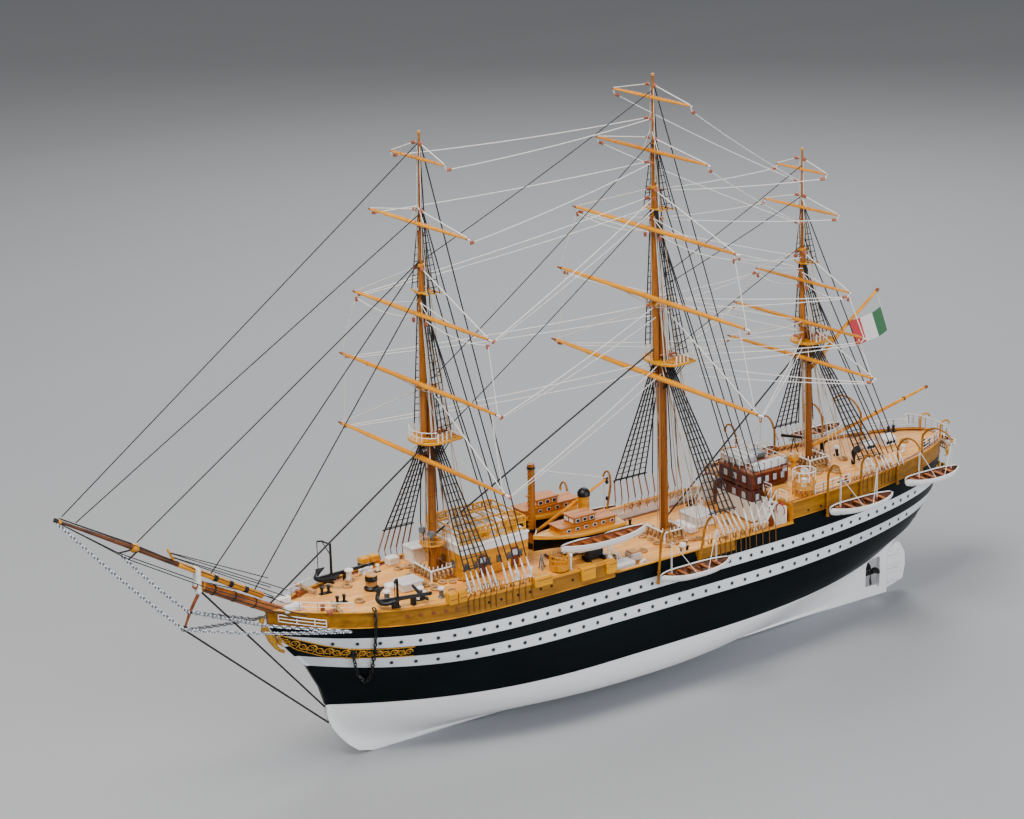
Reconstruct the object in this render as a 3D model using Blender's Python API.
"""Static scale model of a three-masted full-rigged training ship, at its own size.

Lengths below are ship metres; SCALE turns them into the model's own metres.
+X points to the bow, +Y to port, +Z up; the origin is on the keel's flat underside, amidships.
"""
import math

import bmesh
import bpy
from mathutils import Vector

# Driving dimensions, ship metres
SCALE = 1.0 / 84.0
GAP = 0.026
STEM_SIDING = 0.24
BULWARK = 0.28
FORE_DECK_Z = 15.02
FORE_RAIL_Z = 15.36
WAIST_DECK_Z = 12.75
WAIST_RAIL_Z = 14.20
POOP_DECK_Z = 15.88
POOP_RAIL_Z = 16.22
FORE_BREAK_X = 6.6
POOP_BREAK_X = -15.3
DECK_CAMBER = 0.42
HOUSE_WALL = 0.16

# Hull levels: height, half breadth, fore end, fore run, fore power, fore hollow,
# aft end, aft run, aft power, aft hollow, share of the sheer
LEVELS = (
    (0.00, 0.24, 29.6, 20.0, 2.0, 1.00, -34.38, 20.0, 2.0, 1.00, 0.0),
    (0.45, 1.85, 31.2, 31.0, 1.6, 1.70, -34.38, 36.0, 1.7, 2.30, 0.0),
    (1.20, 4.00, 32.1, 30.0, 1.8, 1.50, -34.38, 36.0, 1.8, 2.30, 0.0),
    (2.20, 5.80, 33.0, 29.0, 2.0, 1.30, -34.38, 36.0, 2.0, 2.20, 0.0),
    (3.40, 6.90, 33.85, 28.0, 2.1, 1.12, -34.38, 36.0, 2.2, 1.90, 0.0),
    (4.60, 7.55, 34.3, 27.0, 2.2, 1.04, -34.38, 35.3, 2.4, 1.40, 0.0),
    (5.86, 7.90, 34.4, 26.4, 2.3, 1.00, -35.50, 33.5, 2.5, 1.00, 0.0),
    (7.50, 7.85, 34.95, 26.4, 2.4, 1.00, -38.30, 34.0, 2.5, 0.84, 0.3),
    (9.50, 7.70, 36.3, 26.8, 2.6, 1.00, -40.10, 33.0, 2.4, 0.72, 1.0),
    (10.60, 7.56, 37.4, 27.4, 2.7, 1.00, -40.60, 32.0, 2.3, 0.66, 1.0),
    (11.70, 7.42, 38.4, 27.9, 2.8, 1.00, -40.85, 30.5, 2.2, 0.60, 1.0),
    (12.82, 7.27, 39.2, 28.3, 2.9, 1.00, -40.95, 29.0, 2.1, 0.56, 1.0),
    (13.90, 7.12, 39.8, 28.6, 3.0, 1.00, -41.00, 28.0, 2.1, 0.53, 1.0),
    (16.22, 6.95, 40.0, 28.6, 3.1, 1.00, -41.00, 26.5, 2.0, 0.50, 1.0),
)
HULL_STATIONS = 44

# Masts: name, foot x, foot z, truck x, truck z, lower radius, lower top, lower cap, crosstrees, upper cap
MASTS = (
    ("fore", 22.71, 15.30, 21.93, 57.39, 0.42, 28.7, 34.1, 42.3, 45.4),
    ("main", -4.33, 12.90, -3.85, 59.38, 0.45, 30.9, 37.3, 46.0, 48.7),
    ("mizzen", -23.00, 16.20, -22.26, 49.85, 0.38, 29.9, 32.1, 37.7, 39.7),
)
TOP_HALF = {"fore": 2.6, "main": 2.7, "mizzen": 1.9}
# Yards: name, height and full length for each mast, lowest first
YARDS = {
    "fore": ((27.32, 27.27), (34.43, 25.52), (40.90, 21.87), (49.12, 15.85), (54.98, 8.64)),
    "main": ((30.03, 32.99), (37.91, 29.71), (44.62, 25.48), (52.11, 17.42), (57.17, 12.10)),
    "mizzen": ((28.42, 21.10), (32.32, 18.57), (36.53, 13.39), (43.93, 10.48), (47.75, 7.07)),
}
# How much further ahead of the mast each yard hangs, and how far to port of its middle
YARD_AHEAD = (0.40, 0.0, -0.05, -0.05, -0.05)
YARD_ASIDE = (0.0, 0.0, 0.6, 0.25, 0.25)
YARD_NAMES = ("course", "lower_topsail", "upper_topsail", "topgallant", "royal")
YARD_BRACE_DEG = {"fore": 2.2, "main": 0.4, "mizzen": 4.1}
MAST_STEP = 0.36
BOWSPRIT_LINE = ((36.9, 0.0, 15.15), (46.7, 0.0, 20.66))
BOWSPRIT_R = 0.48
JIB_BOOM_LINE = ((40.2, 0.0, 17.98), (52.3, 0.0, 25.38), (59.23, 0.0, 29.48))
JIB_BOOM_R = 0.27

parts = bpy.data.collections.new("training_ship_model")
cutters = bpy.data.collections.new("cutters")


def clear_scene():
    """Remove every object in the scene."""
    for item in list(bpy.data.objects):
        bpy.data.objects.remove(item, do_unlink=True)


def sheer(x):
    """Rise of the deck lines towards the ends."""
    bow = 0.95 * max(0.0, (x - 22.0) / 16.0) ** 2
    stern = 0.42 * max(0.0, (-x - 5.0) / 33.0) ** 1.5
    return bow + stern


def level_values(z):
    """Hull level values at a height, blended between the two levels around it."""
    for low, high in zip(LEVELS, LEVELS[1:]):
        if z <= high[0]:
            t = max(0.0, (z - low[0]) / (high[0] - low[0]))
            return [a + (b - a) * t for a, b in zip(low, high)]
    return list(LEVELS[-1])


def half_breadth(x, z):
    """Half breadth of the hull at station x and height z."""
    row = level_values(z)
    _, wide, fore_end, fore_run, fa, fb, aft_end, aft_run, aa, ab, _ = row
    ahead = min(1.0, max(0.0, (fore_end - x) / fore_run))
    astern = min(1.0, max(0.0, (x - aft_end) / aft_run))
    fore = (1.0 - (1.0 - ahead) ** fa) ** fb
    aft = (1.0 - (1.0 - astern) ** aa) ** ab
    return max(STEM_SIDING, wide * min(fore, aft))


def finish(name, verts, faces, colour, origin=(0.0, 0.0, 0.0), keep=parts):
    """Make an object from ship-metre vertices, with its own material and origin."""
    mesh = bpy.data.meshes.new(name)
    base = Vector(origin)
    mesh.from_pydata([tuple((Vector(v) - base) * SCALE) for v in verts], [], faces)
    work = bmesh.new()
    work.from_mesh(mesh)
    bmesh.ops.recalc_face_normals(work, faces=work.faces)
    work.to_mesh(mesh)
    work.free()
    item = bpy.data.objects.new(name, mesh)
    item.location = base * SCALE
    keep.objects.link(item)
    if keep is cutters:
        item.hide_render = True
        item.display_type = "WIRE"
        return item
    paint = bpy.data.materials.new(name)
    paint.use_nodes = True
    paint.node_tree.nodes["Principled BSDF"].inputs["Base Color"].default_value = colour
    paint.diffuse_color = colour
    mesh.materials.append(paint)
    return item


def loft(rings, ladder=False):
    """Skin a list of closed rings and cap both ends; a ladder cap joins left to right in quads."""
    count = len(rings[0])
    verts = [p for ring in rings for p in ring]
    faces = []
    for i in range(len(rings) - 1):
        for j in range(count):
            k = (j + 1) % count
            faces.append((i * count + j, i * count + k, (i + 1) * count + k, (i + 1) * count + j))
    last = (len(rings) - 1) * count
    if ladder:
        for j in range(count // 2 - 1):
            quad = (j, j + 1, count - 2 - j, count - 1 - j)
            faces.append(quad)
            faces.append(tuple(last + k for k in quad[::-1]))
        return verts, faces
    faces.append(tuple(range(count))[::-1])
    faces.append(tuple(last + j for j in range(count)))
    return verts, faces


def tube(points, radii, sides=10):
    """Sweep a round section along points, with a radius at each."""
    path = [Vector(p) for p in points]
    rings = []
    start = (path[1] - path[0]).normalized()
    guide = Vector((0.0, 1.0, 0.0))
    if abs(start.dot(guide)) > 0.9:
        guide = Vector((0.0, 0.0, 1.0))
    for i, p in enumerate(path):
        a = path[max(0, i - 1)]
        b = path[min(len(path) - 1, i + 1)]
        run = (b - a).normalized()
        side = run.cross(guide).normalized()
        up = side.cross(run).normalized()
        ring = []
        for j in range(sides):
            t = 2.0 * math.pi * (j + 0.5) / sides
            ring.append(tuple(p + side * (radii[i] * math.cos(t)) + up * (radii[i] * math.sin(t))))
        rings.append(ring)
    return loft(rings)


def box(x0, x1, y0, y1, z0, z1):
    """Vertices and faces of a box."""
    low = [(x0, y0, z0), (x1, y0, z0), (x1, y1, z0), (x0, y1, z0)]
    high = [(x, y, z1) for x, y, _ in low]
    return loft([low, high])


def combine(target, others, operation="UNION"):
    """Apply a Boolean of the others to the target and remove them."""
    for other in others:
        step = target.modifiers.new("cut", "BOOLEAN")
        step.operation = operation
        step.solver = "EXACT"
        step.object = other
        bpy.context.view_layer.update()
        graph = bpy.context.evaluated_depsgraph_get()
        fresh = bpy.data.meshes.new_from_object(target.evaluated_get(graph))
        old = target.data
        target.modifiers.clear()
        target.data = fresh
        bpy.data.meshes.remove(old)
        bpy.data.objects.remove(other, do_unlink=True)
    return target


def scrap(data, name="scrap"):
    """A cutter or an added shape that is used up by a Boolean."""
    return finish(name, data[0], data[1], (1, 1, 1, 1), keep=cutters)


def plan_rings(x0, x1, inset, z, floor, top, count, camber=0.0, trim=0.0):
    """Rings of a deck-shaped slab between two stations, inside the hull by the inset."""
    rings = []
    for i in range(count + 1):
        x = x0 + (x1 - x0) * i / count
        b = max(0.06, half_breadth(x, z) - inset)
        if i == 0:
            x += trim
        if i == count:
            x -= trim
        low = floor + sheer(x)
        high = top + sheer(x)
        ring = [(x, -b, low), (x, b, low), (x, b, high)]
        for k in (0.6, 0.0, -0.6):
            ring.append((x, b * k, high + camber * (1.0 - k * k) * min(1.0, b / 5.0)))
        ring.append((x, -b, high))
        rings.append(ring)
    return rings


def build_hull():
    """The decked hull: one loft, with the three deck wells and the steps cut out."""
    rings = []
    for i in range(HULL_STATIONS + 1):
        t = i / HULL_STATIONS
        u = 0.5 - 0.5 * math.cos(math.pi * t)
        u = 0.55 * u + 0.45 * t
        side = []
        for row in LEVELS:
            x = row[6] + (row[2] - row[6]) * u
            side.append((x, half_breadth(x, row[0]), row[0] + row[10] * sheer(x)))
        ring = side + [(x, -y, z) for x, y, z in reversed(side)]
        rings.append(ring)
    hull = finish("hull", *loft(rings, True), (0.05, 0.08, 0.09, 1))
    cuts = []
    step_air = [(-15.3, WAIST_RAIL_Z), (6.6, WAIST_RAIL_Z)]
    fore = []
    for i in range(13):
        x = FORE_BREAK_X + (45.0 - FORE_BREAK_X) * i / 12
        fore.append((x, FORE_RAIL_Z + sheer(x)))
    profile = [(step_air[0][0], 25.0)] + step_air + fore + [(45.0, 25.0)]
    left = [(x, -12.0, z) for x, z in profile]
    right = [(x, 12.0, z) for x, z in profile]
    cuts.append(scrap(loft([left, right]), "air"))
    cuts.append(scrap(loft(plan_rings(FORE_BREAK_X, 36.5, BULWARK, 15.0, FORE_DECK_Z, 19.0, 20))))
    cuts.append(scrap(loft(plan_rings(POOP_BREAK_X + 0.4, FORE_BREAK_X - 0.4, BULWARK, 14.0,
                                      WAIST_DECK_Z, 19.0, 10))))
    cuts.append(scrap(loft(plan_rings(-40.4, POOP_BREAK_X, BULWARK, 16.0, POOP_DECK_Z, 19.0, 16))))
    combine(hull, cuts, "DIFFERENCE")
    aperture = scrap(box(-33.35, -31.35, -1.5, 1.5, 0.95, 4.35))
    bed = scrap(tube(BOWSPRIT_LINE, [0.48 + GAP, 0.48 + GAP], 14))
    combine(hull, [aperture, bed], "DIFFERENCE")
    return hull


def build_decks():
    """Three planked decks laid in their wells."""
    inset = BULWARK + GAP
    tan = (0.72, 0.42, 0.16, 1)
    deck = plan_rings(FORE_BREAK_X, 36.5, inset, 15.0, FORE_DECK_Z + GAP, FORE_DECK_Z + 0.2, 20, DECK_CAMBER, GAP)
    finish("deck_forecastle", *loft(deck), tan)
    deck = plan_rings(POOP_BREAK_X + 0.4, FORE_BREAK_X - 0.4, inset, 14.0, WAIST_DECK_Z + GAP,
                      WAIST_DECK_Z + 0.16, 10, DECK_CAMBER * 0.6, GAP)
    finish("deck_main", *loft(deck), tan)
    deck = plan_rings(-40.4, POOP_BREAK_X, inset, 16.0, POOP_DECK_Z + GAP, POOP_DECK_Z + 0.2, 16, DECK_CAMBER, GAP)
    finish("deck_poop", *loft(deck), tan)


def mast_x(mast, z):
    """Station of the mast's line at a height."""
    _, fx, fz, tx, tz = mast[:5]
    return fx + (tx - fx) * (z - fz) / (tz - fz)


def mast_skin(mast):
    """A lower mast's surface with the gap added, for cutting what ends on it."""
    _, _, foot, _, _, r, top, cap = mast[:8]
    low_x = lambda z: mast_x(mast, z) - MAST_STEP
    return tube([(low_x(foot), 0, foot), (low_x(top), 0, top), (low_x(cap), 0, cap)],
                [r + GAP, r * 0.9 + GAP, r * 0.75 + GAP], 14)


def build_masts():
    """Lower masts with caps, upper masts, tops and yards."""
    brown = (0.55, 0.24, 0.07, 1)
    yellow = (0.80, 0.48, 0.06, 1)
    for mast in MASTS:
        name, _, foot, _, truck, r, top, cap, trees, upper_cap = mast
        low_x = lambda z: mast_x(mast, z) - MAST_STEP
        high_x = lambda z: mast_x(mast, z) + MAST_STEP
        deck_top = {"fore": FORE_DECK_Z + 0.2 + DECK_CAMBER, "main": WAIST_DECK_Z + 0.16 + 0.6 * DECK_CAMBER,
                    "mizzen": POOP_DECK_Z + 0.2 + DECK_CAMBER}[name]
        foot = deck_top + sheer(mast[1]) + GAP
        lower = finish(name + "_lower_mast",
                       *tube([(low_x(foot), 0, foot), (low_x(top), 0, top), (low_x(cap), 0, cap)],
                             [r, r * 0.9, r * 0.75], 14), brown)
        plate = scrap(box(low_x(cap) - 0.55, high_x(cap) + 0.5, -0.5, 0.5, cap - 0.35, cap - 0.02))
        combine(lower, [plate])
        hole_r = r * 0.75 + GAP
        hole = scrap(tube([(high_x(cap - 1), 0, cap - 1), (high_x(cap + 1), 0, cap + 1)], [hole_r, hole_r], 14))
        combine(lower, [hole], "DIFFERENCE")
        heel = top + 0.32
        upper = finish(name + "_upper_mast",
                       *tube([(high_x(heel), 0, heel), (high_x(cap), 0, cap), (high_x(upper_cap), 0, upper_cap),
                              (high_x(upper_cap + 0.1), 0, upper_cap + 0.1), (high_x(truck - 0.25), 0, truck - 0.25),
                              (high_x(truck - 0.2), 0, truck - 0.2), (high_x(truck), 0, truck)],
                             [r * 0.70, r * 0.72, r * 0.6, r * 0.45, r * 0.24, r * 0.45, r * 0.4], 14), brown)
        wide = TOP_HALF[name]
        tree = scrap(box(mast_x(mast, trees) - 0.9, mast_x(mast, trees) + 0.9, -wide * 0.55, wide * 0.55,
                         trees - 0.06, trees + 0.12))
        plate = scrap(box(high_x(upper_cap) - 0.5, high_x(upper_cap) + 0.4, -0.4, 0.4, upper_cap - 0.3, upper_cap))
        combine(upper, [tree, plate])
        x = mast_x(mast, top)
        outline = [(x - 1.7, -wide * 0.9), (x + 0.9, -wide), (x + 1.5, -wide * 0.6), (x + 1.7, 0.0),
                   (x + 1.5, wide * 0.6), (x + 0.9, wide), (x - 1.7, wide * 0.9)]
        platform = finish(name + "_top", *loft([[(a, b, top) for a, b in outline],
                                                [(a, b, top + 0.3) for a, b in outline]]), yellow)
        pierce = r * 0.9 + GAP
        hole = scrap(tube([(low_x(top - 1), 0, top - 1), (low_x(top + 1), 0, top + 1)], [pierce, pierce], 14))
        combine(platform, [hole], "DIFFERENCE")
        for label, (z, length), ahead, aside in zip(YARD_NAMES, YARDS[name], YARD_AHEAD, YARD_ASIDE):
            h = length / 2
            thick = 0.10 + length * 0.0072
            if z > top:
                t = min(1.0, max(0.0, (z - upper_cap) / (truck - upper_cap)))
                mast_r = r * (0.72 if z < upper_cap else 0.45 - 0.21 * t)
                x = high_x(z) + mast_r + thick + 0.12
            else:
                x = low_x(z) + r * 0.92 + thick + 0.12
            x += ahead
            turn = math.radians(YARD_BRACE_DEG[name])
            run = [(x - s * h * math.sin(turn), aside + s * h * math.cos(turn), z) for s in (-1, -0.55, 0, 0.55, 1)]
            yard = finish("%s_%s_yard" % (name, label),
                          *tube(run, [thick * 0.45, thick * 0.82, thick, thick * 0.82, thick * 0.45], 10), yellow)
            back = x - thick - 0.095 - ahead
            cheeks = ((-0.25, 0.25),) if ahead <= 0.0 else ((-0.34, -0.12), (0.12, 0.34))
            combine(yard, [scrap(box(back, x, y0, y1, z - thick * 0.6, z + thick * 0.6)) for y0, y1 in cheeks])


def build_bow():
    """Bowsprit with its cap, jib boom, dolphin striker and figurehead."""
    brown = (0.5, 0.26, 0.08, 1)
    sprit = finish("bowsprit", *tube([(37.0, 0, 15.206), BOWSPRIT_LINE[1]], [BOWSPRIT_R, 0.42], 14), brown)
    cap = scrap(box(46.2, 46.7, -0.5, 0.5, 19.75, 22.35))
    combine(sprit, [cap])
    boom = tube(JIB_BOOM_LINE, [JIB_BOOM_R, 0.22, 0.12], 12)
    skin = scrap(tube(JIB_BOOM_LINE, [JIB_BOOM_R + GAP, 0.22 + GAP, 0.12 + GAP], 12))
    combine(sprit, [skin], "DIFFERENCE")
    jib = finish("jib_boom", *boom, brown)
    collar = scrap(tube([(51.9, 0, 25.135), (52.4, 0, 25.44)], [0.42, 0.40], 12))
    combine(jib, [collar])
    finish("dolphin_striker", *tube([(46.45, 0, 19.64), (47.34, 0, 18.2), (48.03, 0, 16.66)],
                                    [0.16, 0.14, 0.09], 8), (0.6, 0.3, 0.08, 1))
    body = [(38.5, 0, 12.3), (39.05, 0, 13.1), (39.6, 0, 13.9), (40.08, 0, 14.75), (40.3, 0, 15.15),
            (40.45, 0, 15.5), (40.52, 0, 15.85)]
    figure = finish("figurehead", *tube(body, [0.12, 0.3, 0.38, 0.36, 0.14, 0.24, 0.12], 10), (0.8, 0.55, 0.12, 1))
    stem = [(row[2] + 1.35 * GAP, row[0] + row[10] * sheer(row[2])) for row in LEVELS[7:]]
    stem = [(30.0, stem[0][1])] + stem + [(30.0, stem[-1][1])]
    skin = scrap(loft([[(x, -2.0, z) for x, z in stem], [(x, 2.0, z) for x, z in stem]]))
    combine(figure, [skin], "DIFFERENCE")


def build_stern():
    """Rudder and propeller, each with its origin on its axis."""
    edge = [(-34.62, 0.50), (-36.7, 1.05), (-37.0, 2.6), (-36.9, 4.0), (-36.2, 5.2), (-35.6, 5.45),
            (-34.62, 4.7)]
    t = 0.19
    rings = [[(x, s * t, z) for x, z in edge] for s in (-1, 1)]
    rudder = finish("rudder", *loft(rings), (0.9, 0.9, 0.9, 1), origin=(-34.62, 0, 2.6))
    stock = scrap(tube([(-34.62, 0, 0.5), (-34.62, 0, 4.55)], [0.2, 0.2], 10))
    combine(rudder, [stock])
    hub = finish("propeller", *tube([(-32.9, 0, 2.65), (-32.7, 0, 2.65), (-32.0, 0, 2.65), (-31.38, 0, 2.65)],
                                    [0.08, 0.24, 0.27, 0.27], 12), (0.05, 0.05, 0.05, 1), origin=(-32.2, 0, 2.65))
    for k in range(3):
        a = 2.0 * math.pi * k / 3 + 0.5
        rings = []
        for radius, wide, twist in ((0.15, 0.22, 0.9), (0.8, 0.5, 0.65), (1.25, 0.42, 0.5), (1.45, 0.12, 0.45)):
            ring = []
            for s, w in ((-1, 0), (0, 1), (1, 0), (0, -1)):
                along = s * wide * math.sin(twist)
                around = s * wide * math.cos(twist)
                thick = 0.06 * w
                dx = along * 0.8 + thick
                cy = around
                ring.append((-32.3 + dx, radius * math.cos(a) - cy * math.sin(a),
                             2.65 + radius * math.sin(a) + cy * math.cos(a)))
            rings.append(ring)
        combine(hub, [scrap(loft(rings))])


def build_spanker():
    """Boom and gaff on the mizzen, swinging about the mast."""
    mast = MASTS[2]
    x = mast_x(mast, 18.6) - MAST_STEP
    r = mast[5] * 0.97
    start = x - r - 0.085
    finish("spanker_boom", *tube([(start, 0, 18.62), (start - 7.5, 0, 20.1), (-39.7, 0, 21.9)],
                                 [0.24, 0.24, 0.14], 10), (0.8, 0.48, 0.06, 1), origin=(x, 0, 18.6))
    x = mast_x(mast, 27.0) - MAST_STEP
    r = mast[5] * 0.93
    start = x - r - 0.16
    finish("spanker_gaff", *tube([(start, 0, 27.0), (start - 3.9, 0, 30.2), (-32.43, 0, 33.75)],
                                 [0.2, 0.2, 0.12], 10), (0.8, 0.48, 0.06, 1), origin=(x, 0, 27.0))


def hollow_house(name, x0, x1, w, z0, z1, windows, colour):
    """A house with thin walls, a roof, an open underside and cut windows."""
    house = finish(name, *box(x0, x1, -w, w, z0, z1), colour)
    t = HOUSE_WALL
    cuts = [scrap(box(x0 + t, x1 - t, -w + t, w - t, z0 - 1.0, z1 - t))]
    for a, b, low, high in windows:
        cuts.append(scrap(box(a, b, -w - 1, w + 1, low, high)))
    return combine(house, cuts, "DIFFERENCE")


def build_houses():
    """Deckhouse, bridge deck, wheelhouse, funnel and derrick."""
    base = FORE_DECK_Z + 0.2 + DECK_CAMBER + 0.02
    windows = [(14.4 + 1.2 * k, 14.9 + 1.2 * k, base + 1.0, base + 1.6) for k in range(6)]
    hollow_house("deckhouse", 13.7, 21.1, 3.1, base + GAP, 19.0, windows, (0.85, 0.6, 0.2, 1))
    hollow_house("bridge_deck", -14.85, -13.6, 2.8, WAIST_DECK_Z + 0.2 + 0.6 * DECK_CAMBER + 0.2, 16.60,
                 [(-14.5, -13.95, 14.2, 15.4)], (0.9, 0.9, 0.88, 1))
    windows = [(-17.9 + 1.0 * k, -17.3 + 1.0 * k, 17.2, 17.9) for k in range(4)]
    hollow_house("wheelhouse", -18.4, -13.7, 2.6, 16.63, 18.4, windows, (0.25, 0.07, 0.04, 1))
    low = WAIST_DECK_Z + 0.16 + 0.6 * DECK_CAMBER
    x, y = 5.55, 0.72
    finish("funnel", *tube([(x, y, low + GAP), (x, y, 19.9), (x, y, 19.95), (x, y, 20.25), (x, y, 20.7)],
                           [0.55, 0.55, 0.62, 0.62, 0.3], 16), (0.8, 0.5, 0.1, 1))
    finish("derrick_post", *tube([(11.1, 0, base + GAP), (11.1, 0, 24.1)], [0.38, 0.34], 12), (0.3, 0.18, 0.06, 1))
    finish("derrick_boom", *tube([(10.64, 0, 17.2), (6.2, -0.24, 18.87), (1.8, -0.48, 20.55)], [0.16, 0.17, 0.11], 8),
           (0.8, 0.48, 0.06, 1), origin=(11.1, 0, 17.2))


def boat_rings(cx, cy, z, length, beam, depth, wall=0.1, stations=12):
    """Rings of an open boat: outer skin and inner skin at each station."""
    rings = []
    for i in range(stations + 1):
        t = -1.0 + 2.0 * i / stations
        full = max(0.06, (1.0 - abs(t) ** 2.6)) ** 0.75
        b = beam / 2 * full
        rise = 0.28 * depth * t * t
        deep = depth * (1.0 - 0.35 * abs(t) ** 4)
        x = cx + length / 2 * t
        top = z + rise
        bottom = top - deep
        outer = [(b, top), (b * 0.94, top - deep * 0.45), (b * 0.55, top - deep * 0.85), (0.0, bottom)]
        ib = max(b * 0.35, b - wall)
        inner_deep = max(0.08, (deep - wall * 1.6) * (1.0 - abs(t) ** 6))
        inner = [(0.0, top - inner_deep), (ib * 0.5, top - inner_deep * 0.86), (ib * 0.92, top - inner_deep * 0.45),
                 (ib, top)]
        ring = [(x, cy + y, h) for y, h in outer] + [(x, cy - y, h) for y, h in outer[2::-1]]
        ring += [(x, cy - y, h) for y, h in inner[::-1]] + [(x, cy + y, h) for y, h in inner[1:]]
        rings.append(ring)
    return rings


BOATS = (
    ("fore", -1.5, 9.0, 13.35, 8.2, 1.9, 0.75, (1.4, -4.4), 12.1, 17.75),
    ("mid", -22.5, 9.0, 15.35, 8.2, 1.9, 0.75, (-19.7, -25.0), 13.9, 19.55),
    ("aft", -32.1, 8.9, 16.15, 7.0, 1.7, 0.70, (-29.8, -34.3), 14.6, 19.95),
)


def build_boats():
    """Launches, whaler and six boats hung in curved davits."""
    for side, name in ((1, "port"), (-1, "starboard")):
        for label, cx, cy, z, length, beam, depth, davits, foot, head in BOATS:
            boat = finish("boat_%s_%s" % (label, name),
                          *loft(boat_rings(cx, side * cy, z, length, beam, depth)), (0.9, 0.9, 0.9, 1))
            for k, x in enumerate(davits):
                root = half_breadth(x, foot) + 0.2
                lift = head - 1.3
                bend = [(x, root, foot), (x, root, lift), (x, root + 0.1, lift + 0.6), (x, root + 0.5, head - 0.15),
                        (x, root + 1.0, head), (x, cy - 0.2, head - 0.25), (x, cy, head - 0.7)]
                bend = [(a, side * b, c) for a, b, c in bend]
                arm = scrap(tube(bend, [0.16, 0.16, 0.15, 0.14, 0.13, 0.12, 0.12], 8))
                fall = scrap(tube([(x, side * cy, head - 0.6), (x, side * cy, z - depth * 0.66)], [0.05, 0.05], 6))
                combine(boat, [arm, fall])
    for side, name in ((1, "port"), (-1, "starboard")):
        rings = []
        for i in range(11):
            t = i / 10
            x = 3.2 + 9.9 * t
            full = (1.0 - max(0.0, (t - 0.45) / 0.55) ** 2.2) * (0.82 + 0.18 * min(1.0, t / 0.3))
            b = max(0.08, 1.5 * full)
            top = 17.75 + 0.5 * t * t
            y = side * 3.05
            rings.append([(x, y - b, top), (x, y - b * 0.8, top - 1.0), (x, y, top - 1.55), (x, y + b * 0.8, top - 1.0),
                          (x, y + b, top), (x, y, top + 0.12)])
        launch = finish("launch_" + name, *loft(rings), (0.1, 0.1, 0.1, 1))
        y = side * 3.05
        cabin = scrap(box(4.2, 10.6, y - 1.0, y + 1.0, 17.4, 18.65))
        coach = scrap(box(6.6, 8.4, y - 0.85, y + 0.85, 18.0, 19.35))
        chock = scrap(box(6.9, 9.6, y - 0.5, y + 0.5, 15.58, 16.6))
        combine(launch, [cabin, coach, chock])
    whaler = finish("whaler", *loft(boat_rings(6.6, 5.35, 17.25, 9.8, 1.9, 0.9)), (0.9, 0.9, 0.9, 1))
    chocks = scrap(box(6.9, 8.7, 5.2, 5.5, 15.40, 16.5))
    combine(whaler, [chocks])


def build_deck_gear():
    """Capstan, anchors, flag and main stays."""
    z = FORE_DECK_Z + 0.2 + DECK_CAMBER + sheer(29.0) + GAP
    finish("capstan", *tube([(28.98, 0, z), (28.98, 0, z + 0.2), (28.98, 0, z + 0.25), (28.98, 0, z + 1.2),
                             (28.98, 0, z + 1.25), (28.98, 0, z + 1.5)],
                            [0.62, 0.55, 0.38, 0.4, 0.58, 0.52], 14), (0.05, 0.05, 0.05, 1))
    for side, name, x0 in ((1, "port", 29.0), (-1, "starboard", 30.5)):
        y = side * (half_breadth(x0, 15.0) - 0.55)
        base = FORE_DECK_Z + 0.30 + sheer(x0 + 2.0) + 0.2
        shank = finish("anchor_" + name, *tube([(x0 - 2.6, y, base + 0.3), (x0 + 1.6, y * 0.86, base + 0.5)],
                                               [0.17, 0.17], 8), (0.05, 0.05, 0.05, 1))
        arm = scrap(tube([(x0 + 0.9, y * 0.8 - side * 0.9, base + 0.55), (x0 + 1.45, y * 0.87, base + 0.45),
                          (x0 + 0.9, y * 0.87 + side * 0.8, base + 0.55)], [0.12, 0.2, 0.12], 8))
        pad = scrap(box(x0 - 0.9, x0 - 0.3, y - 0.25, y + 0.25, FORE_DECK_Z + 0.34 + sheer(x0), base + 0.4))
        combine(shank, [arm, pad])
    fore, main, mizzen = MASTS
    sprit = tube([(37.0, 0, 15.206), BOWSPRIT_LINE[1]], [BOWSPRIT_R + GAP, 0.42 + GAP], 14)
    runs = (("forestay", fore, 28.62, (39.7, 0.0, 16.9), sprit),
            ("main_stay", main, 33.0, (mast_x(fore, 19.6) - MAST_STEP, 0.0, 19.6), mast_skin(fore)),
            ("mizzen_stay", mizzen, 29.78, (mast_x(main, 15.2) - MAST_STEP, 0.0, 15.2), mast_skin(main)))
    for name, mast, z, end, stop in runs:
        a = (mast_x(mast, z) - MAST_STEP, 0.0, z)
        stay = finish(name, *tube([a, end], [0.07, 0.07], 6), (0.03, 0.03, 0.03, 1))
        ahead = mast_x(mast, 32.0) + MAST_STEP
        doubling = tube([(ahead, 0, mast[6] + 0.3), (ahead, 0, mast[7])], [mast[5] * 0.72 + GAP] * 2, 14)
        combine(stay, [scrap(mast_skin(mast)), scrap(stop), scrap(doubling)], "DIFFERENCE")
    build_flag()


def build_flag():
    """The flag's cloth, streaming forward from its halyard under the gaff's peak."""
    top = Vector((-32.4, 0.42, 32.0))
    low = Vector((-33.45, 0.42, 29.3))
    run = Vector((4.35, 0.25, -1.0))
    rings = []
    for i in range(13):
        t = i / 12
        wave = 0.22 * math.sin(5.5 * t)
        ring = []
        for corner, thick in ((low, -0.04), (low, 0.04), (top, 0.04), (top, -0.04)):
            p = corner + run * t
            ring.append((p.x, p.y + wave + thick, p.z))
        rings.append(ring)
    flag = finish("flag", *loft(rings), (0.8, 0.8, 0.8, 1))
    line = scrap(tube([(-33.48, 0.42, 29.2), (-32.37, 0.42, 32.08), (-32.25, 0.0, 33.37)], [0.05, 0.05, 0.05], 6))
    combine(flag, [line])


clear_scene()
for group in (parts, cutters):
    bpy.context.scene.collection.children.link(group)
build_hull()
build_decks()
build_masts()
build_bow()
build_stern()
build_spanker()
build_houses()
build_boats()
build_deck_gear()
